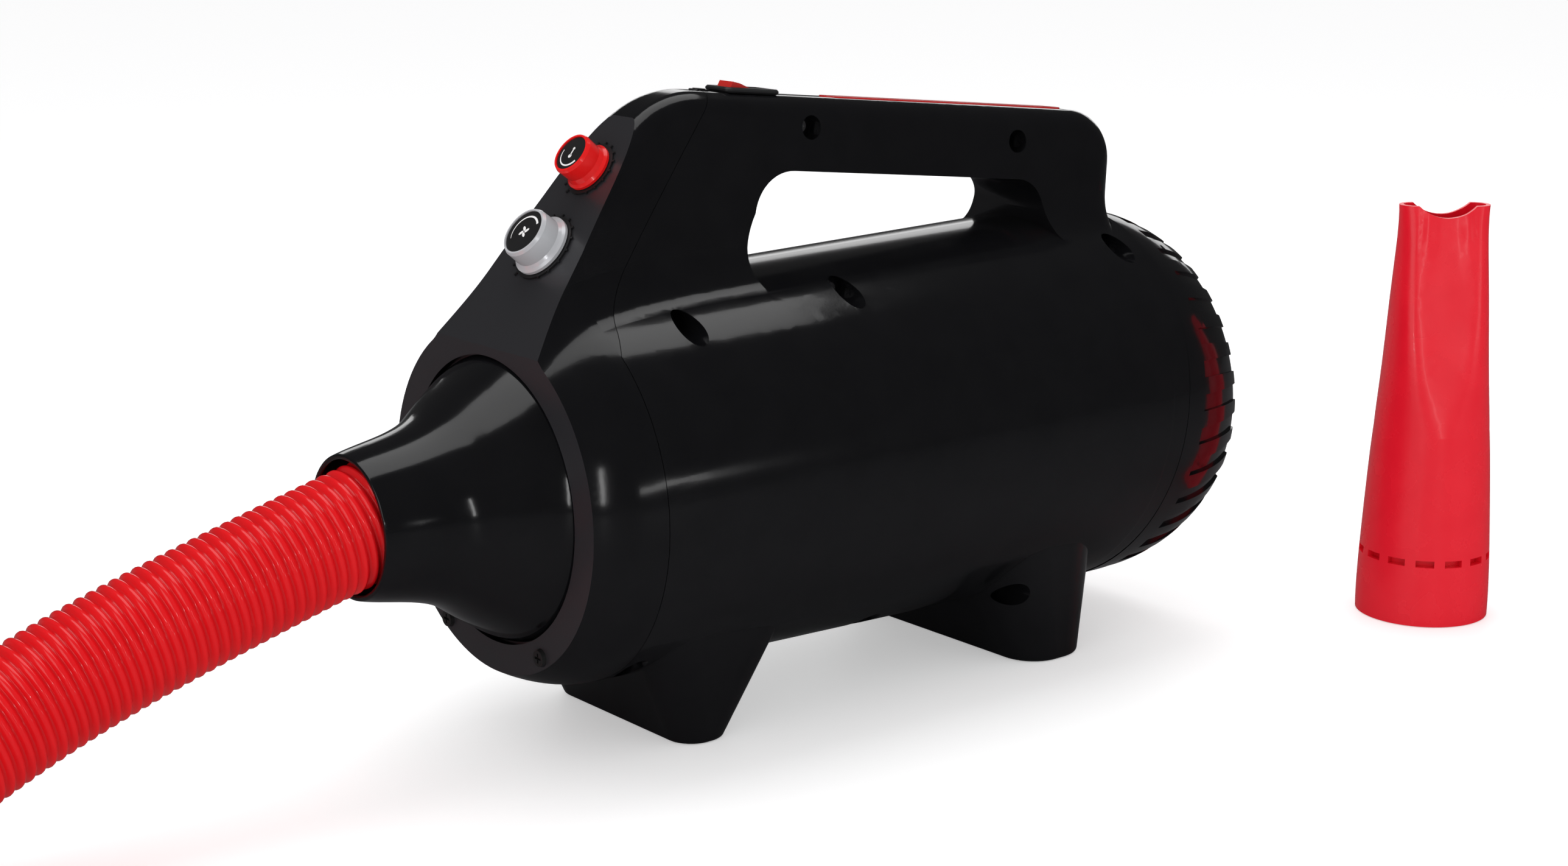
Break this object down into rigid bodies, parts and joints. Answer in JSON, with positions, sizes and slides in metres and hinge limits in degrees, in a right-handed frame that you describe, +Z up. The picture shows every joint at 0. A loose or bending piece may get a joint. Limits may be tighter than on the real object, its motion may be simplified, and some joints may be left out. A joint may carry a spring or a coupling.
{
  "type": "pet dryer blower",
  "caption": "Hand-carried pet grooming blower on two feet, with a long grip, two control knobs, a rocker switch, a corrugated hose and a loose flat nozzle.",
  "frame": {"origin": "middle of the front foot's sole", "axes": "+X along the blower from its nose to its rear, +Z up"},
  "size_m": [1.2997, 0.6314, 0.2877],
  "materials": {
    "black_gloss": "gloss",
    "black_satin": "satin",
    "red_gloss": "gloss",
    "red_satin": "satin",
    "red_hose": "gloss, ribbed",
    "red_rocker": "translucent",
    "silver_plastic": "satin",
    "black_inset": "satin",
    "dark_rubber": "matt",
    "steel": "satin",
    "black_screw": "satin",
    "steel_can": "satin",
    "copper_rotor": "satin",
    "impeller_alu": "satin",
    "mica": "matt",
    "nichrome": "matt",
    "board_green": "satin",
    "white_print": "satin",
    "foam": "open cell"
  },
  "bodies": {
    "blower": {"left_housing": "black_gloss", "right_housing": "black_gloss", "front_cover": "black_gloss", "nose_cone": "black_gloss", "hose_collar": "black_satin", "grip_strip": "red_gloss", "motor_can": "steel_can", "motor_mount_front": "dark_rubber", "motor_mount_rear": "dark_rubber", "fan_housing": "steel_can", "fan_seal": "dark_rubber", "heater_duct": "steel_can", "heater_frame": "mica", "heater_coil": "nichrome", "heat_dial_ring": "black_inset", "speed_dial_ring": "black_inset", "heat_potentiometer": "steel", "speed_potentiometer": "steel", "control_board": "board_green", "switch_bezel": "black_satin", "switch_body": "black_satin", "housing_screws": "steel", "cover_screws": "black_screw", "top_screw": "black_screw", "cord_gland": "dark_rubber", "hose_tube": "red_hose", "hose_coil": "red_hose", "hose_cuff": "red_gloss"},
    "filter_cap": {"rear_cap": "black_gloss", "filter_frame": "black_satin", "filter_foam": "foam"},
    "fan": {"rotor": "copper_rotor", "impeller": "impeller_alu"},
    "speed_control": {"speed_knob": "silver_plastic", "speed_knob_cap": "black_inset", "speed_shaft": "steel"},
    "heat_control": {"heat_knob": "red_gloss", "heat_knob_cap": "black_inset", "heat_shaft": "steel"},
    "rocker": {"switch_rocker": "red_rocker"},
    "nozzle": {"nozzle": "red_satin"}
  },
  "joints": [
    {"name": "filter_cap_pull", "type": "slide", "parent": "blower", "child": "filter_cap", "axis": [1, 0, 0], "range_m": [0, 0.05]},
    {"name": "fan_spin", "type": "hinge", "parent": "blower", "child": "fan", "pos_m": [0.09, 0, 0.115], "axis": [1, 0, 0], "continuous": true},
    {"name": "speed_knob_turn", "type": "hinge", "parent": "blower", "child": "speed_control", "pos_m": [-0.04837, 0, 0.22213], "axis": [-0.7826, 0, 0.6225], "range_deg": [0, 270]},
    {"name": "heat_knob_turn", "type": "hinge", "parent": "blower", "child": "heat_control", "pos_m": [-0.02316, 0, 0.25383], "axis": [-0.7826, 0, 0.6225], "range_deg": [0, 270]},
    {"name": "rocker_tip", "type": "hinge", "parent": "blower", "child": "rocker", "pos_m": [0.06024, 0, 0.27932], "axis": [0, 1, 0], "range_deg": [-18, 0]},
    {"name": "nozzle_lift", "type": "slide", "parent": "blower", "child": "nozzle", "axis": [0, 0, 1], "range_m": [0, 0.1]}
  ]
}
